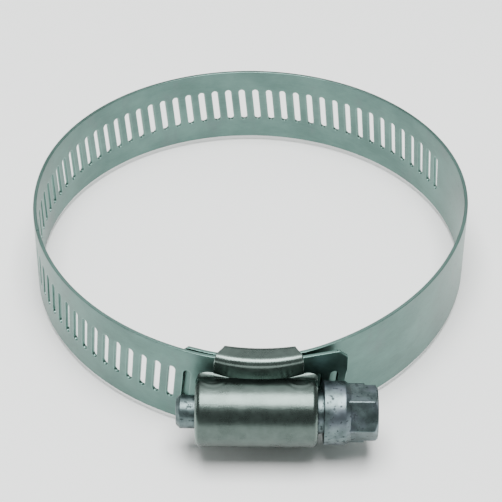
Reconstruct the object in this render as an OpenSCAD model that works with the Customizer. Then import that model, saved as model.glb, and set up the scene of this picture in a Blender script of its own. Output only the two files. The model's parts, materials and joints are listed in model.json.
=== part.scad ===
// Worm-drive hose clamp: a perforated band bent into a ring, a stamped housing that holds
// both ends of it, and a worm screw with a collar and a slotted hexagon head.
// The ring's axis is Z, with the origin at the centre of the hose. The housing is at -Y,
// and the screw lies along X with its head at +X.

/* [Band] */
// Diameter of the hose that the ring seats on
seat_d = 71.8; // [71:0.1:73]
// Width of the band
band_w = 14.3; // [14:0.1:14.6]
// Thickness of the band
band_t = 0.6; // [0.5:0.05:0.65]
// Number of slots in the band, the one cut through at the tail included
slot_count = 70; // [66:1:72]
// Distance from slot to slot, which is the pitch of the worm
pitch = 2.54; // [2.5:0.01:2.58]
// Width of one slot
slot_w = 1.1; // [1:0.05:1.2]
// Length of one slot
slot_len = 6.5; // [6:0.1:6.8]
// Lean of the slots, the lead angle of the worm
slot_lean = 5.5; // [5:0.1:6]
// Length and width of the chamfers at the band's two ends
end_chamfer = 1.4; // [0.5:0.1:1.6]

/* [Housing] */
// Distance from the hose's centre to the screw's axis
screw_y = 46.4; // [46.3:0.05:46.5]
// Shift of the housing along X from the hose's centre
housing_x = 1; // [0.8:0.1:1.2]
// Length of the barrel
barrel_len = 18.6; // [18:0.1:19]
// Outer diameter of the barrel
barrel_d = 10.7; // [10.6:0.05:10.8]
// Thickness of the housing's sheet
sheet_t = 0.85; // [0.8:0.05:0.9]
// Half angle of the saddle, where it wraps the band
saddle_half = 12.4; // [12:0.1:12.6]
// Angle by which the saddle's ends lean in towards its inner side
saddle_taper = 14; // [8:1:20]

/* [Screw] */
// Outer diameter of the thread
thread_d = 8.3; // [8.2:0.05:8.4]
// Diameter of the core that carries the thread
core_d = 6.4; // [6:0.1:6.6]
// Diameter of the collar
collar_d = 9.8; // [9.6:0.1:10]
// Length of the collar
collar_len = 4.1; // [3.8:0.1:4.2]
// Hexagon head across its flats
hex_af = 7.94; // [7.9:0.01:8]
// Length of the hexagon head
hex_len = 4.1; // [3.8:0.1:4.4]
// Diameter of the pilot at the screw's tip
pilot_d = 5.1; // [5:0.1:5.2]
// How far the pilot stands out of the barrel
pilot_out = 2.9; // [2.5:0.1:3]

/* [Hidden] */
$fn = 96;

// The ring: the middle of the band's thickness runs on these arcs.
ring_r = seat_d / 2 + band_t / 2;
outer_r = 30;                              // saddle arc of the sliding, perforated end
outer_c = [housing_x, outer_r - 42.5];
inner_r = 24;                              // saddle arc of the plain end, under the other
inner_c = [housing_x - 0.6, inner_r - 41.75];
tongue_slope = 19.4;                       // the plain end leaves the saddle straight
tongue_len = 3.4;
tail_slope = 14.5;                         // so does the tail
tail_end = 14.2;                           // the tail's end, along the band from the saddle's middle
right_slope = 28;                          // where the plain end turns into the ring
first_slot = -0.9;                         // the slot next to the saddle's middle
slots_past = 6;                            // slots on the tail's side of it
joint_gap = 0.06;                          // gap between two lengths of band where the band flexes
entry_slot = 4.5;                          // the entry joint, in slots before first_slot
back_slot = 53.5;                          // the back joint

// An arc that runs from the circle (c, r) at direction n onto the main ring, tangent to both:
// its radius, and its centre.
function link_radius(c, r, n) =
    r + (c * c - pow(r - ring_r, 2)) / (2 * (c * n + r - ring_r));
function link_centre(c, r, n) = c - (link_radius(c, r, n) - r) * n;
function toward(v) = atan2(v[1], v[0]);
function direction(a) = [cos(a), sin(a)];
function wrap(a) = a < 0 ? a + 360 : a;

degree = PI / 180;
entry_t = first_slot - entry_slot * pitch;
entry_a = -90 + entry_t / outer_r / degree;
left_r = link_radius(outer_c, outer_r, direction(entry_a));
left_c = link_centre(outer_c, outer_r, direction(entry_a));
left_a = wrap(toward(-left_c));            // left arc meets the main ring here
left_len = (entry_a + 360 - left_a) * degree * left_r;
right_a = -90 + right_slope;
right_r = link_radius(inner_c, inner_r, direction(right_a));
right_c = link_centre(inner_c, inner_r, direction(right_a));
right_end = toward(-right_c);              // right arc meets the main ring here

// Where a point of the band lies, t millimetres along it from the saddle's middle, before
// the tail: [centre of its arc, radius, direction].
function place(t) =
    t > entry_t ? [outer_c, outer_r, -90 + t / outer_r / degree]
    : t > entry_t - left_len ? [left_c, left_r, entry_a + 360 - (entry_t - t) / left_r / degree]
    : [[0, 0], ring_r, left_a - (entry_t - left_len - t) / ring_r / degree];

back_t = first_slot - back_slot * pitch;
back_a = place(back_t)[2];
tail_arc_t = tail_slope * degree * outer_r;
arc_slots = floor((tail_arc_t - first_slot) / pitch);  // slots of the tail that lie on the arc
slim_skin = 0.01;
tuck = 0.5;

// The screw, along X.
barrel_x = housing_x - barrel_len / 2;
head_x = housing_x + barrel_len / 2;
collar_gap = 0.85;
thread_clear = 1.2;                        // thread's ends to the barrel's ends
head_slot_w = 1.3;
head_slot_turn = 52;                       // direction of the driver slot in the rest pose
head_slot_deep = 2;
shoulder_clear = 0.12;                     // running clearance round the pilot and the neck
neck_d = 6.6;
hex_turn = 35;                             // how far the hexagon is turned in the rest pose

// Band along an arc. A slim one is a hair thinner, and is tucked a little way into its
// full neighbours, so that the lengths join inside one another and not face to face.
module wall(c, r, from, to, slim_from = false, slim_to = false) {
    skin = slim_from || slim_to ? slim_skin : 0;
    start = from - (slim_from ? tuck / r / degree : 0);
    end = to + (slim_to ? tuck / r / degree : 0);
    translate(c) rotate(start)
        rotate_extrude(angle = end - start, $fn = 360)
            translate([r - band_t / 2 + skin, -band_w / 2 + skin])
                square([band_t - 2 * skin, band_w - 2 * skin]);
}

// A straight end of band that leaves the arc (c, r) at direction a, towards side turn.
module straight_end(c, r, a, len, turn)
    translate(c) rotate(a) translate([r, turn * (len - tuck) / 2, 0])
        difference() {
            cube([band_t - 2 * slim_skin, len + tuck, band_w - 2 * slim_skin], center = true);
            for (side = [-1, 1])
                translate([0, turn * (len + tuck) / 2, side * band_w / 2]) rotate([45, 0, 0])
                    cube([2 * band_t, end_chamfer * sqrt(2), end_chamfer * sqrt(2)], center = true);
        }

module slot_tool()
    rotate([-slot_lean, 0, 0]) {
        cube([4 * band_t, slot_w, slot_len - slot_w], center = true);
        for (side = [-1, 1])
            translate([0, 0, side * (slot_len - slot_w) / 2]) rotate([0, 90, 0])
                cylinder(h = 4 * band_t, d = slot_w, center = true, $fn = 48);
    }

// Slots from number a to number b, counted back from the one next to the saddle's middle.
module slots(a, b)
    for (i = [a : b]) {
        p = place(first_slot - i * pitch);
        translate(p[0]) rotate(p[2]) translate([p[1], 0, 0]) slot_tool();
    }

// The slots in the straight tail, the last of them cut through by the tail's end.
module tail_slots()
    for (i = [arc_slots + 1 : slots_past])
        translate(outer_c) rotate(-90 + tail_slope)
            translate([outer_r, first_slot + i * pitch - tail_arc_t, 0]) slot_tool();

module band_fixed()
    color("#8fa8a0")
        difference() {
            union() {
                straight_end(inner_c, inner_r, -90 - tongue_slope, tongue_len, -1);
                wall(inner_c, inner_r, -90 - tongue_slope, right_a);
                wall(right_c, right_r, right_a, right_end, slim_from = true, slim_to = true);
                wall([0, 0], ring_r, right_end, back_a - joint_gap / ring_r / degree);
            }
            slots(ceil(back_slot), slot_count - slots_past - 1);
        }

module band_loop()
    color("#93aca4")
        difference() {
            union() {
                wall([0, 0], ring_r, back_a, left_a);
                wall(left_c, left_r, left_a, entry_a + 360 - joint_gap / left_r / degree,
                     slim_from = true);
            }
            slots(ceil(entry_slot), floor(back_slot));
        }

module band_tail()
    color("#97b0a8")
        difference() {
            union() {
                wall(outer_c, outer_r, entry_a, -90 + tail_slope);
                straight_end(outer_c, outer_r, -90 + tail_slope, tail_end - tail_arc_t, 1);
            }
            slots(-arc_slots, floor(entry_slot));
            tail_slots();
        }

// Along X at the screw's axis.
module on_axis(x)
    translate([x, -screw_y, 0]) rotate([0, 90, 0]) children();

outer_side = outer_r + band_t / 2 + 0.2;   // inside of the saddle's outer leaves
inner_side = outer_r - band_t / 2 - 1.1;   // outside of its inner leaves
edge_side = band_w / 2 + 0.12;
inner_leaf_z = 1;                          // half of the gap between the two inner leaves
neck_z = 3.85;                             // inner edge of the outer leaves, inside the barrel
taper_reach = 8;

// One folded leaf of the saddle, above or below: outside, over the band's edge, and inside.
module leaf(side)
    mirror([0, 0, side < 0 ? 1 : 0])
        difference() {
            union() {
                arc_block(outer_side, outer_side + sheet_t, neck_z, edge_side + sheet_t);
                arc_block(inner_side - sheet_t, outer_side + sheet_t, edge_side,
                          edge_side + sheet_t);
                arc_block(inner_side - sheet_t, inner_side, inner_leaf_z,
                          edge_side + sheet_t);
            }
            for (end = [-1, 1]) taper_cut(end);
        }

module arc_block(r0, r1, z0, z1)
    translate(outer_c) rotate(-90 - saddle_half)
        rotate_extrude(angle = 2 * saddle_half, $fn = 360)
            translate([r0, z0]) square([r1 - r0, z1 - z0]);

// Takes a wedge off the saddle's end, so that its inner side is the narrower one.
module taper_cut(end)
    translate(outer_c) rotate(-90 + end * saddle_half) translate([outer_side + sheet_t / 2, 0, 0])
        rotate(end * saddle_taper) translate([-taper_reach, end > 0 ? 0 : -taper_reach, -band_w])
            cube([taper_reach, taper_reach, 2 * band_w]);

module barrel()
    difference() {
        on_axis(barrel_x) cylinder(h = barrel_len, d = barrel_d);
        on_axis(barrel_x + sheet_t)
            cylinder(h = barrel_len - 2 * sheet_t, d = barrel_d - 2 * sheet_t);
        on_axis(barrel_x - 1) cylinder(h = barrel_len + 2, d = pilot_d + 2 * shoulder_clear);
        on_axis(housing_x) cylinder(h = barrel_len, d = neck_d + 2 * shoulder_clear);
        translate([outer_c[0], outer_c[1], -band_w])
            cylinder(h = 2 * band_w, r = outer_side + sheet_t / 2, $fn = 360);
    }

module housing()
    color("#7f9a92") {
        barrel();
        for (side = [-1, 1]) leaf(side);
    }

// One ring of the thread's profile at turn angle a: root, flank, crest, flank.
crest_w = 0.5;
root_w = 1.0;
root_r = core_d / 2 - 0.2;
steps = 24;
thread_x = barrel_x + sheet_t + thread_clear;
thread_turns = (barrel_len - 2 * sheet_t - 2 * thread_clear) / pitch;
// The crest is at the band's side of the screw where a slot is.
phase_x = housing_x + first_slot;
function thread_ring(a) =
    let (x = thread_x + a / 360 * pitch,
         turn = 360 * (thread_x - phase_x) / pitch + a)
    [for (p = [[root_r, -root_w], [thread_d / 2, -crest_w], [thread_d / 2, crest_w], [root_r, root_w]])
        [x + p[1] / 2, -screw_y + p[0] * cos(turn), p[0] * sin(turn)]];

module thread() {
    rings = floor(thread_turns * steps);
    points = [for (i = [0 : rings]) each thread_ring(i * 360 / steps)];
    sides = [for (i = [0 : rings - 1], j = [0 : 3])
        let (a = 4 * i + j, b = 4 * i + (j + 1) % 4)
        each [[a, b, b + 4], [a, b + 4, a + 4]]];
    polyhedron(points, concat([[3, 2, 1, 0]], sides,
        [[for (j = [0 : 3]) 4 * rings + j]]));
}

module worm_screw()
    color("#8a969b")
        difference() {
            union() {
                on_axis(barrel_x - pilot_out + 0.6) cylinder(h = barrel_len, d = pilot_d);
                on_axis(barrel_x - pilot_out) cylinder(h = 0.6, d1 = pilot_d - 1.2, d2 = pilot_d);
                on_axis(barrel_x + sheet_t + 0.3)
                    cylinder(h = barrel_len - 2 * sheet_t - 0.6, d = core_d);
                thread();
                on_axis(housing_x + 1) cylinder(h = barrel_len / 2 + collar_gap - 1, d = core_d);
                on_axis(head_x + collar_gap) cylinder(h = collar_len - 0.8, d = collar_d);
                on_axis(head_x + collar_gap + collar_len - 0.8)
                    cylinder(h = 0.8, d1 = collar_d, d2 = collar_d - 1.2);
                hex_head();
            }
            on_axis(head_x + collar_gap + collar_len + hex_len) rotate(head_slot_turn)
                cube([head_slot_w, 2 * hex_af, 2 * head_slot_deep], center = true);
        }

module hex_head()
    intersection() {
        on_axis(head_x + collar_gap + collar_len) rotate(hex_turn)
            cylinder(h = hex_len, d = hex_af / cos(30), $fn = 6);
        on_axis(head_x + collar_gap + collar_len) {
            cylinder(h = hex_len - 0.7, d = 1.2 * hex_af);
            translate([0, 0, hex_len - 0.7])
                cylinder(h = 0.7, d1 = 1.2 * hex_af, d2 = 1.2 * hex_af - 1.8);
        }
    }

housing();
band_fixed();
band_loop();
band_tail();
worm_screw();
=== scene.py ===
"""The looks of a worm-drive hose clamp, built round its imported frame.

Each piece is a surface worked out with numpy. The band is drawn flat first, as a strip with
a coordinate t along it, z across it and h through it, and is then wrapped on its path.
The housing is one stamped sheet, and the screw is turned about its axis.
"""

import json
import math

import bmesh
import bpy
import numpy as np
from bpy.props import FloatProperty, FloatVectorProperty, PointerProperty
from mathutils import Matrix, Vector


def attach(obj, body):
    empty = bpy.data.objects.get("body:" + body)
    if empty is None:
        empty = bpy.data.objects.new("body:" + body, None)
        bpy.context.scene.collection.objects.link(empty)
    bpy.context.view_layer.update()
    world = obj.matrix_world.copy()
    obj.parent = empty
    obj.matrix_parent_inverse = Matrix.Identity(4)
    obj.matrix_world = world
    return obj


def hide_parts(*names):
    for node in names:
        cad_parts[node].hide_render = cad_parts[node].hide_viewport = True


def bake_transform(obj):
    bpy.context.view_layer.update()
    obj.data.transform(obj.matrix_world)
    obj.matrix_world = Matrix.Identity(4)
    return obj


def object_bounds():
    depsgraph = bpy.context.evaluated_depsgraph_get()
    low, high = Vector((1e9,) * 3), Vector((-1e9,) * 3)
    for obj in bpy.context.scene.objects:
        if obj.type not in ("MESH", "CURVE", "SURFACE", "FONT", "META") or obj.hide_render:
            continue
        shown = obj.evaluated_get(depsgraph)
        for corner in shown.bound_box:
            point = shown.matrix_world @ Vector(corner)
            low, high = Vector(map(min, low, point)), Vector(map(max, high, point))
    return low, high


bl_info = {
    "name": "Worm-drive hose clamp",
    "version": (1, 0, 0),
    "blender": (4, 5, 0),
    "location": "3D View > Sidebar > Hose clamp",
    "description": "Builds the band, housing, worm screw and studio of a hose clamp",
    "category": "Add Mesh",
}

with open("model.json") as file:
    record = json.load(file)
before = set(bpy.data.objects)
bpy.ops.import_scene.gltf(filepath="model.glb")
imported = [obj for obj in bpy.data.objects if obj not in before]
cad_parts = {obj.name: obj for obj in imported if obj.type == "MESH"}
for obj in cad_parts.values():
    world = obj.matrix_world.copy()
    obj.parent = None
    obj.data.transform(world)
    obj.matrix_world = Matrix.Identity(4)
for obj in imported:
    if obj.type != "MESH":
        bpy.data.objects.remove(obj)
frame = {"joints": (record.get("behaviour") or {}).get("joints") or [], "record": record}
CAD_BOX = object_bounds()
MM = 0.001


# ---------------------------------------------------------------- settings

def length(name, default, description):
    """A length in metres that a user can change."""
    return FloatProperty(name=name, description=description, default=default, unit="LENGTH")


def angle(name, degrees, description):
    """An angle that a user can change."""
    return FloatProperty(name=name, description=description, default=math.radians(degrees),
                         subtype="ANGLE")


def colour(name, default, description):
    """A colour that a user can change."""
    return FloatVectorProperty(name=name, description=description, default=default,
                               subtype="COLOR", size=3)


class BandSettings(bpy.types.PropertyGroup):
    """Sizes and colour of the band."""
    width: length("Width", 0.0143, "Width of the band")
    thickness: length("Thickness", 0.0006, "Thickness of the band")
    lip: length("Edge radius", 0.00012, "Radius worn on every edge of the band")
    pitch: length("Slot pitch", 0.00254, "Distance from slot to slot")
    slot_width: length("Slot width", 0.0011, "Width of a slot")
    slot_length: length("Slot length", 0.0065, "Length of a slot")
    slot_lean: angle("Slot lean", 5.5, "Lean of the slots")
    chamfer: length("End chamfer", 0.0014, "Chamfer at the band's two ends")
    colour: colour("Colour", (0.105, 0.18, 0.16), "Colour of the band's steel")


class HousingSettings(bpy.types.PropertyGroup):
    """Sizes and colour of the housing."""
    sheet: length("Sheet", 0.00085, "Thickness of the housing's sheet")
    barrel_radius: length("Barrel radius", 0.00535, "Outer radius of the barrel")
    neck_half: length("Neck half length", 0.0067, "Half the neck's length")
    leaf_half: length("Leaf half length", 0.0053, "Half the inner leaf's length")
    crown: length("Crown", 0.0006, "Extra bulge in the middle of the neck")
    colour: colour("Colour", (0.082, 0.108, 0.098), "Colour of the housing's steel")


class ScrewSettings(bpy.types.PropertyGroup):
    """Sizes and colour of the worm screw."""
    hex_flats: length("Across flats", 0.00794, "Hexagon across its flats")
    hex_turn: angle("Hexagon turn", 35, "How far the hexagon is turned")
    slot_width: length("Driver slot", 0.0013, "Width of the driver slot")
    slot_turn: angle("Slot turn", 52, "Direction of the driver slot")
    colour: colour("Colour", (0.10, 0.135, 0.137), "Colour of the screw's steel")


class StudioSettings(bpy.types.PropertyGroup):
    """The camera's place and lens, and the floor's colour."""
    elevation: angle("Camera height", 38.15, "Angle of the camera above the floor")
    distance: length("Camera distance", 0.3102, "Camera to the ring's centre")
    lens: FloatProperty(name="Lens", description="Focal length on a 36 mm sensor, in mm",
                        default=129.6)
    floor: colour("Floor", (0.93, 0.94, 0.93), "Colour of the floor")


def settings(name):
    """The scene's settings of one part: band, housing, screw or studio."""
    return getattr(bpy.context.scene, "clamp_" + name)


# ---------------------------------------------------------------- meshes

def grid_quads(rows, cols, close_rows=False, close_cols=False):
    """Quads of a row-major grid of points, joined round where it closes."""
    r = np.arange(rows if close_rows else rows - 1)[:, None]
    c = np.arange(cols if close_cols else cols - 1)[None, :]
    r1, c1 = (r + 1) % rows, (c + 1) % cols
    quads = np.stack([r * cols + c, r * cols + c1, r1 * cols + c1, r1 * cols + c], -1)
    return quads.reshape(-1, 4)


def repeat_quads(quads, points_each, times):
    """The same quads for each of several equal blocks of points."""
    return (quads[None] + np.arange(times)[:, None, None] * points_each).reshape(-1, 4)


def closed_layers(top, under):
    """Two grids of points as one closed solid: the top grid, the other turned over, and a
    wall that joins their rims."""
    rows, cols = top.shape[:2]
    count = rows * cols
    quads = grid_quads(rows, cols)
    index = np.arange(count).reshape(rows, cols)
    rim = np.concatenate([index[0], index[1:, -1], index[-1, -2::-1], index[-2:0:-1, 0]])
    after = np.roll(rim, -1)
    wall = np.stack([rim, after, after + count, rim + count], -1)
    faces = np.concatenate([quads, quads[:, ::-1] + count, wall])
    return np.stack([top, under]).reshape(-1, 3), faces


def join(parts):
    """Several (points, faces) pairs as one, each part's faces counted on from the last."""
    points, faces, start = [], [], 0
    for part_points, part_faces in parts:
        points.append(part_points.reshape(-1, part_points.shape[-1]))
        faces += [[start + i for i in face] for face in part_faces]
        start += len(points[-1])
    return np.concatenate(points), faces


def new_object(name, points, faces, attributes=None, weld=1e-6, sharp=35):
    """A mesh object at the origin, welded, facing outwards, and smooth below an angle."""
    mesh = bpy.data.meshes.new(name)
    mesh.from_pydata(points.tolist(), [], [list(map(int, face)) for face in faces])
    for key, values in (attributes or {}).items():
        kind, field = ("FLOAT_VECTOR", "vector") if values.ndim == 2 else ("FLOAT", "value")
        attribute = mesh.attributes.new(key, kind, "POINT")
        attribute.data.foreach_set(field, values.astype(np.float32).ravel())
    obj = bpy.data.objects.new(name, mesh)
    bpy.context.scene.collection.objects.link(obj)
    tidy_mesh(obj, weld, sharp)
    return obj


def tidy_mesh(obj, weld, sharp):
    """Merge doubles, take out slivers under a tenth of the welding distance, turn every face
    outwards and shade smooth below the sharp angle, in degrees."""
    work = bmesh.new()
    work.from_mesh(obj.data)
    bmesh.ops.remove_doubles(work, verts=work.verts, dist=weld)
    bmesh.ops.dissolve_degenerate(work, edges=work.edges, dist=weld / 10)
    bmesh.ops.recalc_face_normals(work, faces=work.faces)
    work.to_mesh(obj.data)
    work.free()
    obj.data.shade_smooth()
    obj.data.set_sharp_from_angle(angle=math.radians(sharp))


def apply_modifiers(obj):
    """Put the modifiers' result into the mesh."""
    bpy.context.view_layer.update()
    evaluated = obj.evaluated_get(bpy.context.evaluated_depsgraph_get())
    mesh = bpy.data.meshes.new_from_object(evaluated)
    obj.modifiers.clear()
    obj.data = mesh


# ---------------------------------------------------------------- the band's path

SEAT = next(m for m in frame["record"]["mounts"] if m["name"] == "hose_seat")
SCREW_AXIS = next(j for j in frame["joints"] if j["name"] == "screw_turn")["pos_m"]
SEAT_RADIUS = SEAT["dims"]["r_mm"] * MM
HOUSING_X, SCREW_Y = SCREW_AXIS[0], SCREW_AXIS[1]

OUTER_RADIUS = 30 * MM           # saddle arc of the sliding end
OUTER_DEPTH = -42.5 * MM         # how far out it reaches
INNER_RADIUS = 24 * MM           # saddle arc of the plain end, under it
INNER_DEPTH = -41.75 * MM
INNER_SHIFT = -0.6 * MM
TONGUE_SLOPE = math.radians(19.4)
TONGUE_LENGTH = 3.4 * MM
TAIL_SLOPE = math.radians(14.5)
RIGHT_SLOPE = math.radians(28)
FIRST_SLOT = -0.9 * MM           # the slot next to the saddle's middle
ENTRY_SLOT = -4.5                # the entry joint, in slots from it
LAST_SLOT = -63                  # where the perforation begins
TAIL_END = 14.2 * MM
STRAIGHT = 1000.0                # radius of an arc that is as good as straight
DOWN = -math.pi / 2


def heading(angle):
    """The unit vector at an angle."""
    return np.array([np.cos(angle), np.sin(angle)])


def link_arc(centre, radius, angle, ring):
    """The arc tangent to a circle at one angle and to the ring: its centre and radius. Its
    centre lies on the circle's radius there, as far back as makes the two radii differ by
    the distance between its centre and the ring's."""
    n = heading(angle)
    grow = (centre @ centre - (radius - ring) ** 2) / (2 * (centre @ n + radius - ring))
    return centre - grow * n, radius + grow


def band_path():
    """The path as arcs, each [t at its start, centre x, centre y, radius, angle there]."""
    ring = SEAT_RADIUS + settings("band").thickness / 2
    outer = np.array([HOUSING_X, OUTER_DEPTH + OUTER_RADIUS])
    inner = np.array([HOUSING_X + INNER_SHIFT, INNER_DEPTH + INNER_RADIUS])
    entry_t = FIRST_SLOT + ENTRY_SLOT * settings("band").pitch
    entry = DOWN + entry_t / OUTER_RADIUS
    left, left_radius = link_arc(outer, OUTER_RADIUS, entry, ring)
    left_angle = math.atan2(-left[1], -left[0]) % math.tau
    right, right_radius = link_arc(inner, INNER_RADIUS, DOWN + RIGHT_SLOPE, ring)
    right_angle = math.atan2(-right[1], -right[0])
    t_left = entry_t - (entry + math.tau - left_angle) * left_radius
    t_ring = t_left - (left_angle - right_angle) * ring
    t_right = t_ring - (right_angle - DOWN - RIGHT_SLOPE) * right_radius
    t_inner = t_right - (RIGHT_SLOPE + TONGUE_SLOPE) * INNER_RADIUS
    tongue = inner + (INNER_RADIUS - STRAIGHT) * heading(DOWN - TONGUE_SLOPE)
    tail = outer + (OUTER_RADIUS - STRAIGHT) * heading(DOWN + TAIL_SLOPE)
    t_tongue = t_inner - TONGUE_LENGTH
    return np.array([
        [t_tongue, *tongue, STRAIGHT, DOWN - TONGUE_SLOPE - TONGUE_LENGTH / STRAIGHT],
        [t_inner, *inner, INNER_RADIUS, DOWN - TONGUE_SLOPE],
        [t_right, *right, right_radius, DOWN + RIGHT_SLOPE],
        [t_ring, 0, 0, ring, right_angle],
        [t_left, *left, left_radius, left_angle],
        [entry_t, *outer, OUTER_RADIUS, entry],
        [TAIL_SLOPE * OUTER_RADIUS, *tail, STRAIGHT, DOWN + TAIL_SLOPE],
    ])


def wrap(path, flat):
    """Flat points (t, z, h) laid on the path. The angle grows from an arc's first angle by
    the length along it over its radius, the distance from its centre is the radius and h,
    and z is the height."""
    row = path[np.clip(np.searchsorted(path[:, 0], flat[:, 0], "right") - 1, 0, len(path) - 1)]
    angle = row[:, 4] + (flat[:, 0] - row[:, 0]) / row[:, 3]
    out = row[:, 3] + flat[:, 2]
    return np.stack([row[:, 1] + out * np.cos(angle), row[:, 2] + out * np.sin(angle),
                     flat[:, 1]], -1)


# ---------------------------------------------------------------- the flat band

SIDE_STEPS = 14                  # points up each side of a slot's cell
END_STEPS = 8                    # points along its top and bottom
LIP_STEPS = 4                    # points round a rounded edge
OVERLAP = 0.02 * MM              # how far a shaped end reaches into the band it ends
TONGUE_CUT = 3 * MM              # the tongue's shaped end begins this far from its tip
STRIP_STEP = 0.6 * MM            # between the sections of a plain strip
FACE_MARGIN = 2.5                # flat margin round a slot, in edge radii
BODY_STEPS = 8                   # points along each column of a shaped end
EDGE_SHARES = np.array([1, 0.6, 0.25, 0])    # of the edge radius, in from the long edge
SOFTEN_FROM = 4 * MM             # the chamfer's corners are eased above this height
END_HEIGHTS = MM * np.concatenate([          # columns of a shaped end, closest by the slot's ends
    np.linspace(0, 2.4, 7), np.linspace(2.5, 3.4, 19),
    np.linspace(3.6, 5.6, 6), np.linspace(5.75, 7.0, 11)])
TOUCH = 1e-7                     # points this close to a face belong to it
WELD = 2e-6                      # welding distance of the band's pieces


def lip_profile(half, lip):
    """Round an edge from the outer face to the inner one: (how far short of it, height), a
    quarter circle above and its mirror image below."""
    turn = np.linspace(0, math.pi / 2, LIP_STEPS)
    short = lip * (1 - np.sin(turn))
    height = half - lip * (1 - np.cos(turn))
    return np.concatenate([short, short[::-1]]), np.concatenate([height, -height[::-1]])


def slot_outline(band, grow):
    """The slot's outline, anticlockwise from its lower right: two straight sides joined by
    half circles, grown by a margin and turned by the lean. Each side carries half of each
    round end, so that it pairs with a cell's side."""
    radius = band.slot_width / 2 + grow
    straight = band.slot_length / 2 - band.slot_width / 2
    quarter = SIDE_STEPS // 4
    low = np.linspace(-math.pi / 4, 0, quarter, endpoint=False)
    rise = np.linspace(-straight, straight, SIDE_STEPS - 2 * quarter)
    high = np.linspace(0, math.pi / 4, quarter + 1)[1:]
    side = np.concatenate([
        np.stack([radius * np.cos(low), -straight + radius * np.sin(low)], -1),
        np.stack([np.full_like(rise, radius), rise], -1),
        np.stack([radius * np.cos(high), straight + radius * np.sin(high)], -1)])
    over = np.linspace(math.pi / 4, 3 * math.pi / 4, END_STEPS)[1:-1]
    top = np.stack([radius * np.cos(over), straight + radius * np.sin(over)], -1)
    half = np.concatenate([side, top])
    loop = np.concatenate([half, -half])
    lean = band.slot_lean
    return loop @ np.array([[math.cos(lean), -math.sin(lean)], [math.sin(lean), math.cos(lean)]])


def cell_outline(band):
    """The rectangle round one slot, with a point for each point of the slot's outline."""
    x, z = band.pitch / 2, band.width / 2 - band.lip
    side = np.stack([np.full(SIDE_STEPS, x), np.linspace(-z, z, SIDE_STEPS)], -1)
    top = np.stack([np.linspace(x, -x, END_STEPS), np.full(END_STEPS, z)], -1)[1:-1]
    half = np.concatenate([side, top])
    return np.concatenate([half, -half])


def slot_cells(band, numbers):
    """Cells of band, each a pitch long with a slot in its middle. Loops of points step from
    the cell's rectangle in to the slot's outline, round its curved lip and down its wall, and
    out again on the inner face. Two strips close the band's long edges. Numbers are slots
    from the one next to the saddle's middle."""
    half = band.thickness / 2
    short, height = lip_profile(half, band.lip)
    cell = cell_outline(band)
    near = slot_outline(band, FACE_MARGIN * band.lip)
    rings = [(cell, half), (near, half)]
    rings += [(slot_outline(band, s), h) for s, h in zip(short, height)]
    rings += [(near, -half), (cell, -half)]
    loops = np.stack([np.concatenate([xy, np.full((len(xy), 1), h)], -1) for xy, h in rings])
    # The rings round the slot's lip carry a painted highlight, the flat rings none
    loop_sheen = np.zeros(loops.shape[:2])
    loop_sheen[2:-2] = 1
    surfaces = [(loops, grid_quads(len(rings), len(cell), close_cols=True), loop_sheen)]

    along = np.linspace(band.pitch / 2, -band.pitch / 2, END_STEPS)[:, None]
    # The points round the long rounded edges carry a painted highlight, the flat rows none
    edge_strip_sheen = np.ones((END_STEPS, len(short)))
    edge_strip_sheen[:, [0, -1]] = 0
    for side in (1, -1):
        z = side * (band.width / 2 - short)
        edge = np.stack(np.broadcast_arrays(along, z, height), -1)
        surfaces.append((edge, grid_quads(END_STEPS, len(short)), edge_strip_sheen))

    moves = np.zeros((len(numbers), 1, 3))
    moves[:, 0, 0] = FIRST_SLOT + np.asarray(numbers) * band.pitch
    parts = [(points.reshape(1, -1, 3) + moves,
              repeat_quads(quads, points.size // 3, len(moves)))
             for points, quads, _ in surfaces]
    sheen_lists = [np.tile(sheen_share.ravel(), len(moves)) for _, _, sheen_share in surfaces]
    return parts, sheen_lists


def section_loop(band):
    """The band's cross-section as a closed loop of (z, h), with round edges."""
    half = band.thickness / 2
    short, height = lip_profile(half, band.lip)
    z = np.linspace(-1, 1, SIDE_STEPS) * (band.width / 2 - band.lip)
    loop = np.concatenate([
        np.stack([z, np.full_like(z, half)], -1),
        np.stack([band.width / 2 - short, height], -1)[1:-1],
        np.stack([z[::-1], np.full_like(z, -half)], -1),
        np.stack([short - band.width / 2, height], -1)[::-1][1:-1]])
    # The points round the rounded edges carry a painted highlight
    sheen_share = np.concatenate([np.zeros(SIDE_STEPS), np.ones(len(short) - 2)] * 2)
    return loop, sheen_share


def plain_strip(band, start, end):
    """Band without slots from start to end: the section carried along t."""
    t = np.linspace(start, end, max(2, int(abs(end - start) / STRIP_STEP) + 1))
    loop, sheen_share = section_loop(band)
    points = np.concatenate([np.broadcast_to(t[:, None, None], (len(t), len(loop), 1)),
                             np.broadcast_to(loop[None], (len(t), *loop.shape))], -1)
    return (points, grid_quads(len(t), len(loop), close_cols=True)), np.tile(sheen_share, len(t))


def end_cap(band, t):
    """A flat face across the band at t."""
    loop, sheen_share = section_loop(band)
    points = np.concatenate([np.full((len(loop), 1), t), loop], -1)
    return (points, [list(range(len(loop)))]), sheen_share


def chamfer_limit(band, z, end, way):
    """Where a band that ends at end stops at height z, its corners cut off at 45 degrees."""
    return end - way * np.maximum(0, np.abs(z) - (band.width / 2 - band.chamfer))


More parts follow.
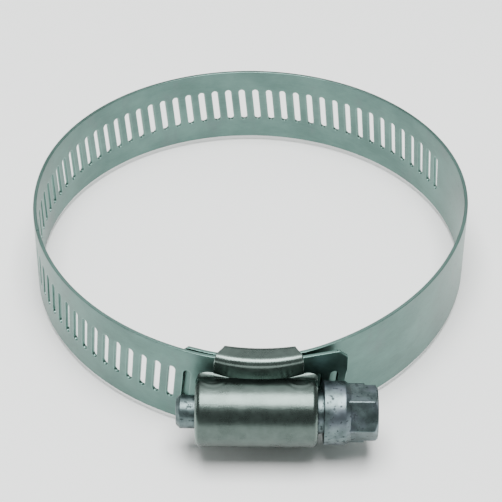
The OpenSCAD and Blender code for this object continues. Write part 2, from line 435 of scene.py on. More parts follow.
def shaped_end(band, start, end, notch_at=None):
    """The last stretch of band, from start to its end, as columns of points at fixed heights.
    Each column runs out on the outer face to its own limit, round the curved edge, and back on
    the inner face. The limit is the end less what the 45 degree corners cut off, or the wall
    of a slot at notch_at where that comes first. The long edges are rounded as the band's."""
    half = band.thickness / 2
    z_edge = band.width / 2
    way = 1 if end > start else -1
    z = np.concatenate([-END_HEIGHTS[:0:-1], END_HEIGHTS])
    z = z[np.abs(z) < z_edge - band.lip]
    rounding = z_edge - band.lip * EDGE_SHARES
    z = np.concatenate([-rounding[::-1], z, rounding])

    limit = chamfer_limit(band, z, end, way)
    if notch_at is not None:
        radius = band.slot_width / 2
        past = np.maximum(0, np.abs(z) - (band.slot_length / 2 - radius))
        inside = past < radius
        depth = np.sqrt(np.where(inside, radius ** 2 - past ** 2, 0))
        wall = notch_at + z * math.tan(band.slot_lean) - way * depth
        limit = np.where(inside & (way * wall < way * limit), wall, limit)
    soften = limit.copy()
    soften[1:-1] = (limit[:-2] + 2 * limit[1:-1] + limit[2:]) / 4
    limit = np.where(np.abs(z) > SOFTEN_FROM, soften, limit)

    short, height = lip_profile(half, band.lip)
    share = np.linspace(0, 1, BODY_STEPS + 1)[:-1, None]
    begin = way * np.minimum(way * start, way * limit - 3 * band.lip)
    body = begin + (limit - way * 2 * band.lip - begin)[None] * share
    rim = limit[None] - way * short[:, None]
    t = np.concatenate([body, rim, body[::-1]])
    h = np.concatenate([np.full(BODY_STEPS, half), height, np.full(BODY_STEPS, -half)])
    past = np.maximum(0, np.abs(z) - (z_edge - band.lip))
    drop = band.lip - np.sqrt(np.maximum(0, band.lip ** 2 - past ** 2))
    h = h[:, None] * (1 - drop / half)
    points = np.stack(np.broadcast_arrays(t, z[None], h), -1)
    # The end's rim and the columns by its long edges carry a painted highlight
    sheen_share = np.zeros(points.shape[:2])
    sheen_share[BODY_STEPS:-BODY_STEPS] = 1
    sheen_share[:, :3] = sheen_share[:, -3:] = 1

    rows, cols = sheen_share.shape
    index = np.arange(rows * cols).reshape(rows, cols)
    faces = grid_quads(rows, cols).tolist()
    for side in (index[:, 0], index[:, -1]):
        faces += [[side[i], side[i + 1], side[-2 - i], side[-1 - i]]
                  for i in range(rows // 2 - 1)]
    faces.append([*index[0], *index[-1, ::-1]])
    return (points, faces), sheen_share.ravel()


def slot_edge(band, number):
    """Where the cell of a slot begins."""
    return FIRST_SLOT + (number - 0.5) * band.pitch


def band_piece(name, path, band, parts, sheen_lists):
    """Flat parts welded, wrapped on the path and made an object. Its strip attribute keeps
    the flat place of each point, for the grain of the steel."""
    flat, faces = join(parts)
    # The second attribute is the share of painted highlight on the rounded edges
    obj = new_object(name, wrap(path, flat), faces,
                     {"strip": flat, "worn": np.concatenate(sheen_lists)}, weld=WELD)
    true_normals(obj, path, band)
    return obj


def true_normals(obj, path, band):
    """Shade the band's two faces and its long rounded edges with their exact normals: on a
    face the path's outward direction, and on an edge the direction from its arc's centre."""
    mesh = obj.data
    flat = np.empty(len(mesh.vertices) * 3, np.float32)
    mesh.attributes["strip"].data.foreach_get("vector", flat)
    flat = flat.reshape(-1, 3).astype(float)
    normals = np.empty(flat.size, np.float32)
    mesh.vertex_normals.foreach_get("vector", normals)
    normals = normals.reshape(-1, 3)
    half = band.thickness / 2
    outward = (wrap(path, flat + [0, 0, MM]) - wrap(path, flat)) / MM
    facing = np.abs(flat[:, 2]) > half - TOUCH
    normals[facing] = (outward * np.sign(flat[:, 2:]))[facing]
    beside = (np.abs(flat[:, 1]) > band.width / 2 - band.lip + TOUCH) & ~facing
    over = np.clip(np.abs(flat[:, 2:]) - half + band.lip, 0, None) * np.sign(flat[:, 2:])
    past = flat[:, 1:2] - np.sign(flat[:, 1:2]) * (band.width / 2 - band.lip)
    rounding = (outward * over + np.array([0, 0, 1]) * past)[beside]
    normals[beside] = rounding / np.linalg.norm(rounding, axis=-1, keepdims=True)
    mesh.normals_split_custom_set_from_vertices(normals)


def slotted_piece(name, path, band, first, last, caps, ends=(), trim_end=None):
    """A closed piece of slotted band from slot number first to slot number last, with flat
    caps at the given places, and with shaped ends. Trim_end is where its band ends, if the
    corners cut off there reach into the last cell."""
    parts, sheen_lists = slot_cells(band, range(first, last + 1))
    parts += [part for part, _ in caps]
    sheen_lists += [sheen_share for _, sheen_share in caps]
    if trim_end is not None:
        for points, _ in parts:
            limit = chamfer_limit(band, points[..., 1], trim_end, 1) - 2 * band.lip
            points[..., 0] = np.minimum(points[..., 0], limit)
    parts += [part for part, _ in ends]
    sheen_lists += [sheen_share for _, sheen_share in ends]
    return band_piece(name, path, band, parts, sheen_lists)


def on_path(path, t):
    """The point of the band's middle at t."""
    return tuple(wrap(path, np.array([[t, 0.0, 0.0]]))[0])


# ---------------------------------------------------------------- materials

STAIN_TINT = (0.12, 0.15, 0.15)      # dull stains on the band
SMUDGE_TINT = (0.30, 0.34, 0.42)     # bluish smudges on the screw


class Value:
    """A socket that can be added, taken away or multiplied, each adding a Math node."""

    def __init__(self, nodes, socket):
        self.nodes = nodes
        self.socket = socket

    def __add__(self, other):
        return self.nodes.math("ADD", self, other)

    def __sub__(self, other):
        return self.nodes.math("SUBTRACT", self, other)

    def __rsub__(self, other):
        return self.nodes.math("SUBTRACT", other, self)

    def __mul__(self, other):
        return self.nodes.math("MULTIPLY", self, other)

    __radd__ = __add__
    __rmul__ = __mul__

    def between(self, low, high):
        """0 below low, 1 above high, and smooth between."""
        return self.nodes.add("ShaderNodeMapRange", {"interpolation_type": "SMOOTHSTEP"},
                              {0: self, 1: low, 2: high})


class Nodes:
    """A material's node tree, with one method that adds any node."""

    def __init__(self, name):
        self.material = bpy.data.materials.new(name)
        self.material.use_nodes = True
        self.tree = self.material.node_tree
        self.tree.nodes.clear()

    def add(self, kind, setup, sockets, out=0):
        """A node of one type: its settings are set first, then its sockets, by place or by
        name, get their values or links. The result is one of its outputs, if it has any."""
        node = self.tree.nodes.new(kind)
        for key, value in setup.items():
            setattr(node, key, value)
        for key, value in sockets.items():
            if isinstance(value, Value):
                self.tree.links.new(value.socket, node.inputs[key])
            else:
                node.inputs[key].default_value = value
        return Value(self, node.outputs[out]) if node.outputs else None

    def math(self, operation, first, second):
        """A Math node on two values."""
        return self.add("ShaderNodeMath", {"operation": operation}, {0: first, 1: second})

    def attribute(self, name, out):
        """One output of a mesh attribute."""
        return self.add("ShaderNodeAttribute", {"attribute_name": name}, {}, out)

    def place(self):
        """The place in the object's own coordinates."""
        return self.add("ShaderNodeTexCoord", {}, {}, "Object")

    def noise(self, place, scale, detail=3.0, roughness=0.55):
        """Cloudy noise from 0 to 1."""
        return self.add("ShaderNodeTexNoise", {}, {"Vector": place, "Scale": scale,
                                                   "Detail": detail, "Roughness": roughness})

    def streaks(self, place, scales, detail=3.0, roughness=0.55):
        """Noise with its own scale along each axis."""
        stretched = self.add("ShaderNodeMapping", {}, {"Vector": place, "Scale": scales})
        return self.noise(stretched, 1.0, detail, roughness)

    def mix(self, share, first, second):
        """A colour between two colours."""
        return self.add("ShaderNodeMix", {"data_type": "RGBA"},
                        {0: share, 6: first, 7: second}, 2)

    def bump(self, height, strength, distance):
        """A normal that follows a height."""
        return self.add("ShaderNodeBump", {}, {"Height": height, "Strength": strength,
                                               "Distance": distance})

    def finish(self, colour, roughness, normal, metallic=1.0):
        """The shader and the output; the result is the material."""
        surface = self.add("ShaderNodeBsdfPrincipled", {}, {
            "Base Color": colour, "Roughness": roughness, "Normal": normal,
            "Metallic": metallic})
        self.add("ShaderNodeOutputMaterial", {}, {"Surface": surface})
        return self.material


def shade(colour, gain):
    """A colour made lighter or darker, with full alpha."""
    return (*[min(1.0, c * gain) for c in colour], 1.0)


def band_steel(colour):
    """Rolled strip: fine grain along the strip, dull patches, and a highlight painted on its
    rounded edges.
    """
    nodes = Nodes("band_finish")
    strip = nodes.attribute("strip", "Vector")
    worn = nodes.attribute("worn", "Fac")
    grain = nodes.streaks(strip, (400, 9000, 1), 4.0, 0.6)
    brushed = nodes.streaks(strip, (60, 2600, 1), 2.0)
    patches = nodes.streaks(strip, (110, 160, 1), 4.0, 0.6)
    scuffs = nodes.streaks(strip, (900, 1500, 1), 3.0, 0.7).between(0.56, 0.72)
    stains = nodes.streaks(strip, (170, 90, 1), 5.0, 0.6).between(0.52, 0.74)
    tone = nodes.mix(patches.between(0.3, 0.72), shade(colour, 0.74), shade(colour, 1.14))
    tone = nodes.mix(stains * 0.7, tone, shade(STAIN_TINT, 0.9))
    tone = nodes.mix(grain.between(0.25, 0.8) * 0.35, tone, shade(colour, 1.4))
    # A highlight painted on the rounded edges of the band and of its slots, which are also a little
    # smoother
    tone = nodes.mix(worn * 0.35, tone, shade(colour, 1.7))
    roughness = 0.27 + patches * 0.14 + grain * 0.08 + scuffs * 0.08 - worn * 0.08
    normal = nodes.bump(grain * 0.6 + brushed, 0.35, 0.00002)
    return nodes.finish(tone, roughness, normal)


def housing_steel(colour):
    """Stamped sheet: soft blotches, faint draw marks, and a highlight painted on its bends, free
    edges, rolled ends and end plates.
    """
    nodes = Nodes("housing_finish")
    place = nodes.place()
    worn = nodes.attribute("worn", "Fac")
    blotches = nodes.noise(place, 420, 4.0, 0.6)
    marks = nodes.streaks(place, (350, 2600, 2600), 3.0, 0.6)
    specks = nodes.noise(place, 3600, 2.0, 0.5)
    tone = nodes.mix(blotches.between(0.3, 0.7), shade(colour, 0.84), shade(colour, 1.15))
    # A highlight painted on the bends, the free edges, the rolled ends and the end plates
    tone = nodes.mix(worn * 0.7, tone, shade(colour, 2.0))
    roughness = 0.19 + blotches * 0.14 + specks * 0.06 - worn * 0.04
    normal = nodes.bump(marks * 0.6 + specks * 0.4, 0.45, 0.00003)
    return nodes.finish(tone, roughness, normal)


def screw_steel(colour):
    """Dull plating: mottled grey, with dark pits and smudges."""
    nodes = Nodes("screw_finish")
    place = nodes.place()
    mottle = nodes.noise(place, 700, 5.0, 0.65)
    smudge = nodes.noise(place, 260, 2.0, 0.5)
    pits = nodes.noise(place, 1500, 2.0, 0.5).between(0.60, 0.68)
    grit = nodes.noise(place, 5200, 2.0, 0.6)
    tone = nodes.mix(mottle.between(0.32, 0.7), shade(colour, 0.72), shade(colour, 1.35))
    tone = nodes.mix(smudge.between(0.5, 0.7) * 0.4, tone, shade(SMUDGE_TINT, 0.8))
    tone = nodes.mix(pits * 0.7, tone, shade(colour, 0.28))
    roughness = 0.27 + mottle * 0.2 + pits * 0.2
    normal = nodes.bump(mottle * 0.5 + grit * 0.35 - pits * 0.6, 0.4, 0.00004)
    return nodes.finish(tone, roughness, normal)


MAKERS = {"band": band_steel, "housing": housing_steel, "screw": screw_steel}


def steel(kind):
    """The finish of one part, made once."""
    return bpy.data.materials.get(kind + "_finish") or MAKERS[kind](settings(kind).colour[:])


# ---------------------------------------------------------------- the housing

LEAF_STEPS, FOLD_STEPS, FILLET_STEPS, BARREL_STEPS = 12, 11, 16, 60
HALF_ACROSS = 60                 # points across half of the housing's length
BARREL_HALF = 9.3 * MM
BARREL_LEFT = HOUSING_X - BARREL_HALF
BARREL_RIGHT = HOUSING_X + BARREL_HALF
SADDLE_CENTRE = OUTER_DEPTH + OUTER_RADIUS
LEAF_START = 1.0 * MM            # height at which each inner leaf begins
LEAF_OUT = 28.175 * MM           # inner leaf, from the saddle arc's centre
NECK_OUT = 30.925 * MM           # neck wall, from the same centre
TOP = 7.695 * MM                 # middle of the sheet over the band's edge
BEND = 0.62 * MM                 # bend radius of the sheet's middle
FILLET, FILLET_GROWTH = 0.45, 0.1    # between neck and barrel, in mm: middle, and more at ends
FREE_EDGE = np.array([0, 0.02, 0.07, 0.15]) * MM    # rows of points, in from a free edge
EDGE_DROPS = np.array([1, 0.5, 0.15, 0])            # share of the rounding left at each row
FOLD_GROWTH = 0.3 * MM           # how much longer the fold is than the leaf, each way
NECK_TAPER = 0.15 * MM           # how much shorter the neck is at its fold, each way
WIDEN_STEPS = 7                  # rows in which the neck widens to the barrel
# At the start of each stretch of the profile: the share of the crown, and the shift in mm
CROWN_SHARES = [0, 0, 0.2, 0.5, 0.7, 1]
SADDLE_SHIFTS = [0.55, 0.5, 0.45, 0.35, 0.3, 0.3]
ROLL_IN = 0.3 * MM               # the sheet's middle stops this far short of the barrel's end
ROLL_START, ROLL_LENGTH = 8.3 * MM, 0.7 * MM
ROLL_DROP, ROLL_RIDGE = 0.42 * MM, 0.06 * MM
WRINKLE_X = 6.6 * MM             # the wrinkles ring the corner between neck and barrel
WRINKLE_TURN = math.radians(114)
WRINKLE_HEIGHT, WRINKLE_WAVE = 0.02 * MM, 0.15 * MM
WRINKLE_FAR = 1.9                # mm from that corner to the deepest wrinkle
WRINKLE_STEPS = 5                # rows in which the wrinkles set in
# Shares of the highlight painted on the bends, the free edges, the rolled ends and the end plates
BEND_SHEEN, EDGE_SHEEN, ROLL_SHEEN, PLATE_SHEEN = 0.5, 0.9, 0.6, 0.3
PILOT_HOLE, NECK_HOLE = 2.67 * MM, 3.42 * MM
PLATE_INSET, PLATE_SOFT, PLATE_GAP = 0.12 * MM, 0.12 * MM, 0.05 * MM
PLATE_REACH, PLATE_STEPS = math.radians(116), 97


def ease(x):
    """Smooth step from 0 to 1."""
    x = np.clip(x, 0, 1)
    return x * x * (3 - 2 * x)


def steady(value, steps):
    """The same value in every row."""
    return np.full((steps, 1), value)


def even_rows(start, end, steps):
    """Evenly spaced rows, the start and end being numbers or one value per column."""
    return np.linspace(start + np.zeros(1), end + np.zeros(1), steps)


def arc_rows(out, height, radius, start, end, steps):
    """An arc in the (out, height) plane, one row per step."""
    turn = even_rows(start, end, steps)
    return out + radius * np.cos(turn), height + radius * np.sin(turn)


def housing_profile(share, radius):
    """Half of the sheet's middle line as (out, height) rows: up the inner leaf, over the
    band's edge, down the neck, and round the barrel to its front. Share is 0 in the middle
    of the housing and 1 at its ends, where the fillet between neck and barrel opens. The
    fillet's centre lies where it touches both the neck's line and the barrel's circle."""
    axis = SADDLE_CENTRE - SCREW_Y
    fillet = (FILLET + FILLET_GROWTH * share ** 2) * MM
    reach = axis - NECK_OUT - fillet
    valley = np.sqrt((radius + fillet) ** 2 - reach ** 2)
    meet = np.arctan2(valley, -reach)
    leaf = np.concatenate([
        LEAF_START + FREE_EDGE[:-1],
        np.linspace(LEAF_START + FREE_EDGE[-1], TOP - BEND, LEAF_STEPS - 3)])
    parts = [
        (steady(LEAF_OUT, LEAF_STEPS), leaf[:, None]),
        arc_rows(LEAF_OUT + BEND, TOP - BEND, BEND, math.pi, math.pi / 2, FOLD_STEPS),
        (even_rows(LEAF_OUT + BEND, NECK_OUT - BEND, LEAF_STEPS), steady(TOP, LEAF_STEPS)),
        arc_rows(NECK_OUT - BEND, TOP - BEND, BEND, math.pi / 2, 0, FOLD_STEPS),
        (steady(NECK_OUT, LEAF_STEPS), even_rows(TOP - BEND, valley, LEAF_STEPS)),
        arc_rows(NECK_OUT + fillet, valley, fillet, math.pi, math.pi + meet, FILLET_STEPS),
        arc_rows(axis, 0, radius, meet, 0, BARREL_STEPS),
    ]
    return [np.concatenate([np.broadcast_to(part[k], (len(part[k]), len(share)))
                            for part in parts]) for k in (0, 1)]


def housing_middle(housing):
    """The sheet's middle as a grid, and the painted highlight of each point. Each row runs across
    the housing; the rows follow housing_profile() and then its mirror image below. The saddle is
    laid on the band's arc and crowned as 1 less the square of the place along the neck. The
    barrel's ends drop with the square of the way past where they begin, and its wrinkles are
    a cosine of the distance from the neck's corner, which fades on both sides."""
    across = np.linspace(-1, 1, 2 * HALF_ACROSS + 1)
    radius = housing.barrel_radius - housing.sheet / 2
    share = np.abs(np.concatenate([[-1, -1, -1], across, [1, 1, 1]]))
    out, height = housing_profile(share, radius)
    starts = np.cumsum([0, LEAF_STEPS, FOLD_STEPS, LEAF_STEPS, FOLD_STEPS, LEAF_STEPS,
                        FILLET_STEPS])
    fold, top, neck_fold, neck, fillet, barrel = starts[1:]
    row = np.arange(len(out))[:, None]
    leave = ease((row - fillet) / FILLET_STEPS)
    saddle = 1 - leave
    half = np.interp(row, starts[:6], [
        housing.leaf_half, housing.leaf_half, housing.leaf_half + FOLD_GROWTH,
        housing.neck_half - NECK_TAPER, housing.neck_half, housing.neck_half])
    widen = ease((row - fillet - 1) / WIDEN_STEPS)
    half = half * (1 - widen) + (BARREL_HALF - ROLL_IN) * widen
    edge = FREE_EDGE[:-1]
    x = np.concatenate([-half + edge, across * (half - FREE_EDGE[-1]),
                        (half - edge)[:, ::-1]], 1)
    bulge = np.interp(row, starts[:6], CROWN_SHARES) * saddle
    out = out - saddle * (out - np.sqrt(out ** 2 - x ** 2))
    out = out + housing.crown * bulge * np.clip(1 - (x / housing.neck_half) ** 2, 0, 1)

    turn = np.arctan2(height, out - (SADDLE_CENTRE - SCREW_Y))
    past = np.clip((np.abs(x) - ROLL_START) / ROLL_LENGTH, 0, 1)
    far = np.hypot(np.abs(x) - WRINKLE_X, (turn - WRINKLE_TURN) * radius)
    clear = np.interp(row, [barrel, barrel + WRINKLE_STEPS], [0, 1])
    fade = np.exp(-(far / MM - WRINKLE_FAR) ** 2)
    wrinkle = WRINKLE_HEIGHT * clear * np.cos(far / WRINKLE_WAVE) * fade
    ridge = ROLL_RIDGE * ease(past * 3) * (1 - past)
    swell = leave * (wrinkle - ROLL_DROP * past ** 2 + ridge)
    out = out + swell * np.cos(turn)
    height = height + swell * np.sin(turn)

    # A highlight is painted on the bends, the free edges and the rolled ends
    bend = ((row > fold) & (row < top)) | ((row > neck_fold) & (row < neck))
    worn = BEND_SHEEN * bend + EDGE_SHEEN * (share > 0.999) + ROLL_SHEEN * (past > 0.5)
    x = x + np.interp(row, starts[:6], SADDLE_SHIFTS) * MM * saddle
    middle = np.stack([HOUSING_X + x, SADDLE_CENTRE - out, height], -1)
    lower = middle[-2::-1] * [1, 1, -1]
    return np.concatenate([middle, lower]), np.concatenate([worn, worn[-2::-1]])


def sheet_solid(middle, thickness, lip):
    """A closed sheet built on its middle: offset both ways along the normals, by less over
    the outer rows of the grid, which rounds its free edges."""
    normal = np.cross(np.gradient(middle, axis=0), np.gradient(middle, axis=1))
    normal /= np.linalg.norm(normal, axis=-1, keepdims=True)
    rows, cols = (np.arange(count) for count in middle.shape[:2])
    from_edge = np.minimum(np.minimum(rows, rows[::-1])[:, None],
                           np.minimum(cols, cols[::-1])[None])
    drop = (lip * EDGE_DROPS)[np.minimum(from_edge, len(EDGE_DROPS) - 1)]
    offset = normal * (thickness / 2 - drop)[..., None]
    return closed_layers(middle + offset, middle - offset)


def on_axis(x, radius, turn):
    """Points about the screw's axis, the turn being 0 away from the ring."""
    return np.stack(np.broadcast_arrays(x, SCREW_Y - radius * np.cos(turn),
                                        radius * np.sin(turn)), -1)


def end_plate(x_outer, x_inner, hole, rim):
    """The rolled-in end of the barrel: a flat plate with a round hole, open towards the ring,
    as a closed profile of (x, radius) carried round the axis."""
    x_soft = x_outer + PLATE_SOFT * (1 if x_inner > x_outer else -1)
    x = np.array([x_outer, x_soft, x_inner, x_inner, x_soft, x_outer])
    radius = np.array([hole + PLATE_SOFT, hole, hole, rim, rim, rim - PLATE_SOFT])
    turn = np.linspace(-PLATE_REACH, PLATE_REACH, PLATE_STEPS)
    points = on_axis(x[None], radius[None], turn[:, None])
    faces = grid_quads(PLATE_STEPS, len(x), close_cols=True).tolist()
    last = (PLATE_STEPS - 1) * len(x)
    faces += [list(range(len(x))), [last + i for i in range(len(x))][::-1]]
    return points, faces


# ---------------------------------------------------------------- the worm screw

# Profiles of the turned solids: (place along the axis, radius) in mm
PILOT = [(-11.2, 0), (-11.2, 1.95), (-10.6, 2.55), (-7.0, 2.55), (-7.0, 0)]
NECK = [(10.0, 0), (10.0, 3.2), (11.5, 3.2), (11.5, 0)]
COLLAR = [(11.15, 0), (11.15, 4.84), (14.45, 4.84), (15.25, 4.3), (15.25, 0)]
PILOT_SOFT, NECK_SOFT, COLLAR_SOFT = 0.14 * MM, 0.05 * MM, 0.16 * MM
TURN_STEPS = 120                 # points round a turned solid
THREAD_START, THREAD_END = -7.2, 10.2    # the core's ends in mm
THREAD_STEPS, THREAD_TURN_STEPS = 218, 96
THREAD_FADE_IN, THREAD_FADE_OUT = 6.4 * MM, 8.4 * MM
ROOT_RADIUS, CORE_RADIUS, THREAD_HEIGHT = 3.0 * MM, 3.15 * MM, 1.05 * MM
ROOT_HALF, FLANK = 0.46 * MM, 0.24 * MM  # half the thread's width at its root; a flank's width
HEX_START, HEX_END = 15.25 * MM, 19.35 * MM
HEX_BURIED = 0.4 * MM            # how far the hexagon reaches into the collar
HEX_SOFT = 0.05 * MM
HEX_CONE, HEX_CONE_LENGTH, HEX_CONE_SLOPE = 4.76 * MM, 0.7 * MM, 1.29
BUNCHING = 0.65                  # how far the points round the hexagon crowd to its corners
SLOT_DEPTH, SLOT_REACH = 2 * MM, 8 * MM


def rounded(profile, soft, steps=5):
    """A polyline of (x, radius) stations with each corner replaced by a short curve."""
    profile = np.array(profile) * MM
    share = np.linspace(0, 1, steps)[:, None]
    rows = [profile[:1]]
    for before, at, after in zip(profile[:-2], profile[1:-1], profile[2:]):
        start = at + (before - at) / np.linalg.norm(before - at) * soft
        end = at + (after - at) / np.linalg.norm(after - at) * soft
        rows.append((1 - share) ** 2 * start + 2 * share * (1 - share) * at + share ** 2 * end)
    return np.concatenate(rows + [profile[-1:]])


def turned(profile, soft):
    """A solid of revolution about the screw's axis: its rounded profile carried round."""
    stations = rounded(profile, soft)
    turn = np.linspace(0, math.tau, TURN_STEPS, endpoint=False)
    points = on_axis(stations[:, :1], stations[:, 1:], turn[None])
    return points, grid_quads(len(stations), TURN_STEPS, close_cols=True)


def soft_least(values, softness):
    """The least of several values along the first axis, blended where they are close."""
    least = values.min(0)
    return least - softness * np.log(np.exp(-(values - least) / softness).sum(0))


def thread(band):
    """The core with its right-hand thread: the radius is a function of the place along the
    axis and of the turn. It rises with nearness to the helix, from the root to a flat crest,
    is never less than the core's, and fades to the core at both ends of the thread."""
    x = np.linspace(THREAD_START, THREAD_END, THREAD_STEPS) * MM
    turn = np.linspace(0, math.tau, THREAD_TURN_STEPS, endpoint=False)
    turns = (x[:, None] - HOUSING_X - FIRST_SLOT) / band.pitch + turn[None] / math.tau - 0.5
    away = np.abs((turns + 0.5) % 1 - 0.5) * band.pitch
    ends = ease((x + THREAD_FADE_IN) / MM) * ease((THREAD_FADE_OUT - x) / MM)
    height = np.clip((ROOT_HALF - away) / FLANK, 0, 1) * ends[:, None]
    radius = np.maximum(CORE_RADIUS, ROOT_RADIUS + THREAD_HEIGHT * height)
    radius = np.concatenate([0 * radius[:1], radius, 0 * radius[:1]])
    x = np.concatenate([x[:1], x, x[-1:]])
    return (on_axis(x[:, None], radius, turn[None]),
            grid_quads(len(x), THREAD_TURN_STEPS, close_cols=True))


def hex_head(screw):
    """The hexagon: its radius is the soft least of the distances to six flats, and of the
    cone that chamfers its free end, at each place along the axis and each turn."""
    bunch = np.linspace(-1, 1, 25)[:-1]
    sector = np.radians(30) * ((1 - BUNCHING) * bunch + BUNCHING * bunch ** 3)
    turn = (np.arange(6)[:, None] * math.radians(60) + sector).ravel() + screw.hex_turn
    flats = screw.hex_turn + np.radians(30 + 60 * np.arange(6))
    lean = np.cos(turn[None] - flats[:, None])
    flat = np.where(lean > 0.3, screw.hex_flats / 2 / np.maximum(lean, 0.3), 1)
    hexagon = soft_least(flat, HEX_SOFT)
    x = np.concatenate([[HEX_START - HEX_BURIED],
                        np.linspace(HEX_START, HEX_END - 0.9 * MM, 6),
                        np.linspace(HEX_END - 0.85 * MM, HEX_END - 0.08 * MM, 14)])
    past = np.maximum(0, x - HEX_END + HEX_CONE_LENGTH)
    cone = (HEX_CONE - past * HEX_CONE_SLOPE)[:, None]
    radius = soft_least(np.stack(np.broadcast_arrays(cone, hexagon[None])), HEX_SOFT)
    face = radius[-1:] - np.array([[0.02], [0.09]]) * MM
    radius = np.concatenate([0 * radius[:1], radius, face, 0 * radius[:1]])
    x = np.concatenate([x[:1], x, [HEX_END - 0.02 * MM, HEX_END, HEX_END]])
    points = on_axis(x[:, None], radius, turn[None] + math.pi / 2)
    return points, grid_quads(len(x), len(turn), close_cols=True)


def cut_driver_slot(head, screw):
    """Take the driver's slot out of the head with a box laid across its end."""
    along = np.array([0, math.cos(screw.slot_turn), math.sin(screw.slot_turn)])
    across = np.array([0, -along[2], along[1]])
    sign = np.array([[i, j, k] for i in (-1, 1) for j in (-1, 1) for k in (-1, 1)])
    points = np.array([HEX_END, SCREW_Y, 0]) + sign[:, :1] * np.array([SLOT_DEPTH, 0, 0]) + \
        sign[:, 1:2] * along * SLOT_REACH + sign[:, 2:] * across * screw.slot_width / 2
    faces = [[0, 1, 3, 2], [4, 6, 7, 5], [0, 4, 5, 1], [2, 3, 7, 6], [0, 2, 6, 4], [1, 5, 7, 3]]
    cutter = new_object("driver_slot_cutter", points, faces)
    cut = head.modifiers.new("Driver slot", "BOOLEAN")
    cut.operation = "DIFFERENCE"
    cut.solver = "EXACT"
    cut.object = cutter
    apply_modifiers(head)
    bpy.data.objects.remove(cutter)


# ---------------------------------------------------------------- the studio

CAMERA_DIP, CAMERA_ROLL = 0.0155, 0.008      # in radians, from a level view of the middle
SENSOR = 36                                  # mm
CLIP_START = 0.01
WORLD_TINT, WORLD_STRENGTH = (0.93, 0.98, 0.96, 1), 0.38
FLOOR_FRONT, FLOOR_BACK, FLOOR_SIDE = -1.6, 2.4, 2.2
FLOOR_RISE, RISE_START, RISE_LENGTH = 1.2, 0.7, 1.5
FLOOR_THICKNESS = 0.02


def camera_axes(elevation, dip, roll):
    """Right, up and back of the camera, turned down a little and rolled."""
    back = np.array([0, -math.cos(elevation), math.sin(elevation)])
    up = np.array([0, math.sin(elevation), math.cos(elevation)])
    right = np.array([1, 0, 0])
    up, back = (up * math.cos(dip) - back * math.sin(dip),
                back * math.cos(dip) + up * math.sin(dip))
    right, up = (right * math.cos(roll) + up * math.sin(roll),
                 up * math.cos(roll) - right * math.sin(roll))
    return right, up, back


def place_camera(studio):
    """The camera in front of the clamp and above it."""
    data = bpy.data.cameras.new("camera")
    data.lens = studio.lens
    data.sensor_width = SENSOR
    data.clip_start = CLIP_START
    camera = bpy.data.objects.new("camera", data)
    axes = np.stack(camera_axes(studio.elevation, CAMERA_DIP, CAMERA_ROLL), 1)
    level = np.array([0, -math.cos(studio.elevation), math.sin(studio.elevation)])
    rows = [[*row, spot] for row, spot in zip(axes, level * studio.distance)]
    camera.matrix_world = Matrix([*rows, [0, 0, 0, 1]])
    bpy.context.scene.collection.objects.link(camera)
    bpy.context.scene.camera = camera
    return camera


def area_light(name, power, spot, size, toward=(0, 0, 0)):
    """A rectangular light at a place, facing a point."""
    data = bpy.data.lights.new(name, "AREA")
    data.shape = "RECTANGLE"
    data.size, data.size_y = size
    data.energy = power
    lamp = bpy.data.objects.new(name, data)
    lamp.location = spot
    lamp.rotation_euler = (Vector(spot) - Vector(toward)).to_track_quat("Z", "Y").to_euler()
    bpy.context.scene.collection.objects.link(lamp)
    return lamp


def floor_paint(colour):
    """Matt paper with a faint mottle."""
    nodes = Nodes("floor_paint")
    place = nodes.place()
    mottle = nodes.noise(place, 30, 3.0, 0.5)
    tone = nodes.mix(mottle, shade(colour, 0.985), shade(colour, 1.0))
    normal = nodes.bump(nodes.noise(place, 1500, 2.0, 0.5), 0.1, 0.00002)
    return nodes.finish(tone, 0.85 + mottle * 0.05, normal, metallic=0.0)


def make_floor(studio):
    """A wide slab under the part: flat, then rising in a smooth step far behind it."""
    y = np.linspace(FLOOR_FRONT, FLOOR_BACK, 81)
    rise = FLOOR_RISE * ease((y - RISE_START) / RISE_LENGTH)
    x = np.linspace(-FLOOR_SIDE, FLOOR_SIDE, 45)
    low = CAD_BOX[0][2]
    top = np.stack(np.broadcast_arrays(x[None], y[:, None], low + rise[:, None]), -1)
    points, faces = closed_layers(top, top - [0, 0, FLOOR_THICKNESS])
    floor = new_object("floor", points, faces, weld=1e-7)
    floor.data.materials.append(floor_paint(studio.floor[:]))
    return floor


def world_light():
    """Even pale light from all round."""
    world = bpy.data.worlds.new("studio")
    world.use_nodes = True
    background = world.node_tree.nodes["Background"]
    background.inputs["Color"].default_value = WORLD_TINT
    background.inputs["Strength"].default_value = WORLD_STRENGTH
    bpy.context.scene.world = world


# ---------------------------------------------------------------- operators

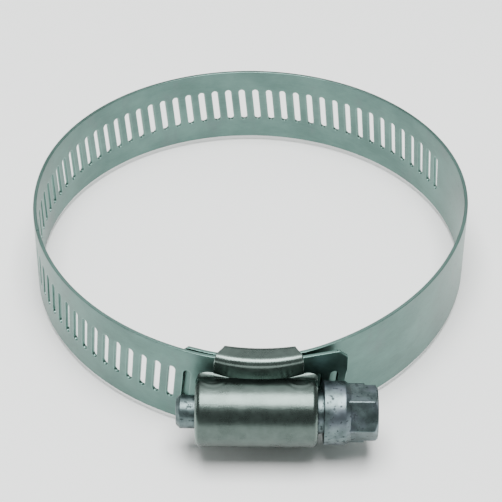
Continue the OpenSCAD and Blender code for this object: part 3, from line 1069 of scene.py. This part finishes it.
class CLAMP_OT_band(bpy.types.Operator):
    """Build the band: plain end, perforated ring and sliding tail."""
    bl_idname = "clamp.band"
    bl_label = "Band"

    def execute(self, context):
        band = settings("band")
        path = band_path()
        tip = path[0, 0]
        cut = tip + TONGUE_CUT
        seams = {number: end_cap(band, slot_edge(band, number)) for number in (-58, -48, -8, -1, 6)}
        plain = slotted_piece(
            "band_plain_end", path, band, LAST_SLOT, -59,
            [end_cap(band, cut), seams[-58],
             plain_strip(band, cut, slot_edge(band, LAST_SLOT))],
            [shaped_end(band, cut + OVERLAP, tip)])
        back = slotted_piece("band_back", path, band, -58, -49, [seams[-58], seams[-48]])
        left = slotted_piece("band_left", path, band, -48, -9, [seams[-48], seams[-8]])
        entry = slotted_piece("band_entry", path, band, -8, -2, [seams[-8], seams[-1]])
        tail = slotted_piece(
            "band_tail_end", path, band, -1, 5, [seams[-1], seams[6]],
            [shaped_end(band, slot_edge(band, 6) - OVERLAP, TAIL_END,
                        FIRST_SLOT + 6 * band.pitch)], TAIL_END)
        for obj in (plain, back, left, entry, tail):
            obj.data.materials.append(steel("band"))
        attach(plain, "housing")
        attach(left, "band_loop")
        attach(tail, "band_tail")
        on_path(path, slot_edge(band, -58))
        on_path(path, slot_edge(band, -48))
        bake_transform(back)
        on_path(path, slot_edge(band, -8))
        on_path(path, slot_edge(band, -1))
        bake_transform(entry)
        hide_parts("band_fixed")
        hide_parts("band_loop")
        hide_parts("band_tail")
        return {"FINISHED"}


class CLAMP_OT_housing(bpy.types.Operator):
    """Build the stamped housing: saddle, neck, barrel and its two rolled-in ends."""
    bl_idname = "clamp.housing"
    bl_label = "Housing"

    def execute(self, context):
        housing = settings("housing")
        middle, worn = housing_middle(housing)
        sheet = sheet_solid(middle, housing.sheet, FREE_EDGE[-1])
        rim = housing.barrel_radius - housing.sheet - PLATE_GAP
        left = end_plate(BARREL_LEFT + PLATE_INSET, BARREL_LEFT + housing.sheet,
                         PILOT_HOLE, rim)
        right = end_plate(BARREL_RIGHT - PLATE_INSET, BARREL_RIGHT - housing.sheet,
                          NECK_HOLE, rim)
        points, faces = join([sheet, left, right])
        plates = len(points) - 2 * worn.size
        # The end plates get a weaker painted highlight than the sheet's bends and edges
        sheen_share = np.concatenate([worn.ravel(), worn.ravel(), np.full(plates, PLATE_SHEEN)])
        obj = new_object("housing_shell", points, faces, {"worn": sheen_share}, weld=1e-7, sharp=40)
        obj.data.materials.append(steel("housing"))
        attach(obj, "housing")
        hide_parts("housing")
        return {"FINISHED"}


class CLAMP_OT_screw(bpy.types.Operator):
    """Build the worm screw: pilot, thread, collar and slotted hexagon head."""
    bl_idname = "clamp.screw"
    bl_label = "Worm screw"

    def execute(self, context):
        screw = settings("screw")
        points, faces = join([turned(PILOT, PILOT_SOFT), thread(settings("band")),
                              turned(NECK, NECK_SOFT), turned(COLLAR, COLLAR_SOFT)])
        shaft = new_object("worm_shaft", points, faces, weld=1e-7, sharp=50)
        points, faces = hex_head(screw)
        head = new_object("worm_head", points.reshape(-1, 3), faces, weld=1e-7)
        cut_driver_slot(head, screw)
        for obj in (shaft, head):
            obj.data.materials.append(steel("screw"))
            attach(obj, "worm_screw")
            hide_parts("worm_screw")
        return {"FINISHED"}


class CLAMP_OT_studio(bpy.types.Operator):
    """Set up the floor, the soft lights and the camera."""
    bl_idname = "clamp.studio"
    bl_label = "Studio"

    def execute(self, context):
        studio = settings("studio")
        make_floor(studio)
        place_camera(studio)
        area_light("overhead", power=13.0, spot=(0.0, -0.12, 0.75), size=(0.5, 0.52),
                       toward=(0, -0.12, 0))
        area_light("back_fill", power=2.0, spot=(0.0, 0.50, 0.75), size=(0.7, 0.6),
                       toward=(0, 0.2, 0))
        area_light("left_wing", power=0.8, spot=(-0.8, 0.1, 0.25), size=(0.4, 0.3))
        world_light()
        return {"FINISHED"}


OPERATORS = (CLAMP_OT_band, CLAMP_OT_housing, CLAMP_OT_screw, CLAMP_OT_studio)


class CLAMP_PT_panel(bpy.types.Panel):
    """The builders of the hose clamp, in the order they run."""
    bl_idname = "CLAMP_PT_panel"
    bl_label = "Hose clamp"
    bl_space_type = "VIEW_3D"
    bl_region_type = "UI"
    bl_category = "Hose clamp"

    def draw(self, context):
        for operator in OPERATORS:
            self.layout.operator(operator.bl_idname)


GROUPS = {"clamp_band": BandSettings, "clamp_housing": HousingSettings,
          "clamp_screw": ScrewSettings, "clamp_studio": StudioSettings}


def register():
    """Register the classes and hang the settings on the scene."""
    for cls in (*GROUPS.values(), *OPERATORS, CLAMP_PT_panel):
        bpy.utils.register_class(cls)
    for name, group in GROUPS.items():
        setattr(bpy.types.Scene, name, PointerProperty(type=group))


def unregister():
    """Take the settings and the classes away again."""
    for name in GROUPS:
        delattr(bpy.types.Scene, name)
    for cls in (CLAMP_PT_panel, *OPERATORS, *GROUPS.values()):
        bpy.utils.unregister_class(cls)


def main():
    """Build every piece in order."""
    register()
    bpy.ops.clamp.band()
    bpy.ops.clamp.housing()
    bpy.ops.clamp.screw()
    bpy.ops.clamp.studio()


if __name__ == "__main__":
    main()
